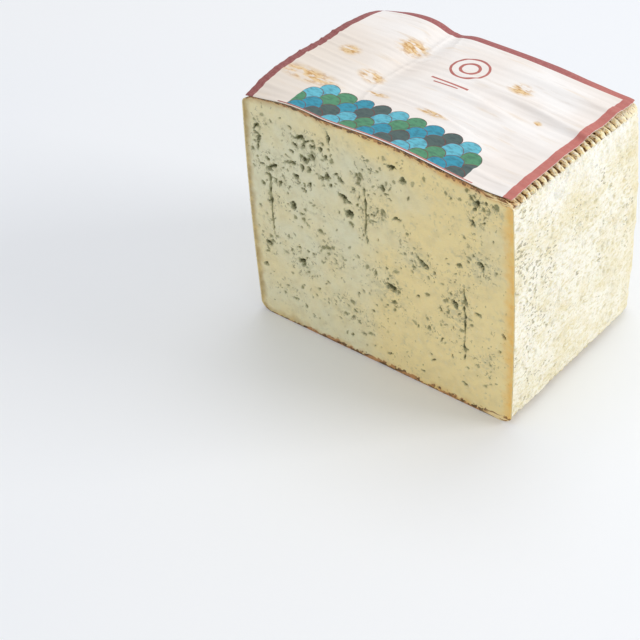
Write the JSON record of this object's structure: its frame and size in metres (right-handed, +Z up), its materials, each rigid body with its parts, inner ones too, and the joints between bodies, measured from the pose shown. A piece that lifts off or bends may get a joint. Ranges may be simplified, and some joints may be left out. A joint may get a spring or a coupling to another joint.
{
  "type": "blue cheese block cut from a square wheel",
  "caption": "Tall block of soft blue cheese cut from a square wheel, with veined ivory paste, a ribbed brown rind and a paper label over its top.",
  "frame": {"origin": "on the table, under the middle of the block's bounding box", "axes": "+X along the cut face to its right end, +Y from the knife cut to the back of the wheel, +Z up"},
  "size_m": [0.181, 0.126, 0.1541],
  "materials": {
    "paste_and_rind": "soft ivory paste with open blue-green veins, in a thin porous cream rind that is brown and ribbed on the top and the bottom",
    "label_paper": null
  },
  "bodies": {
    "root": {"cheese": "paste_and_rind", "label": "label_paper"}
  },
  "joints": []
}
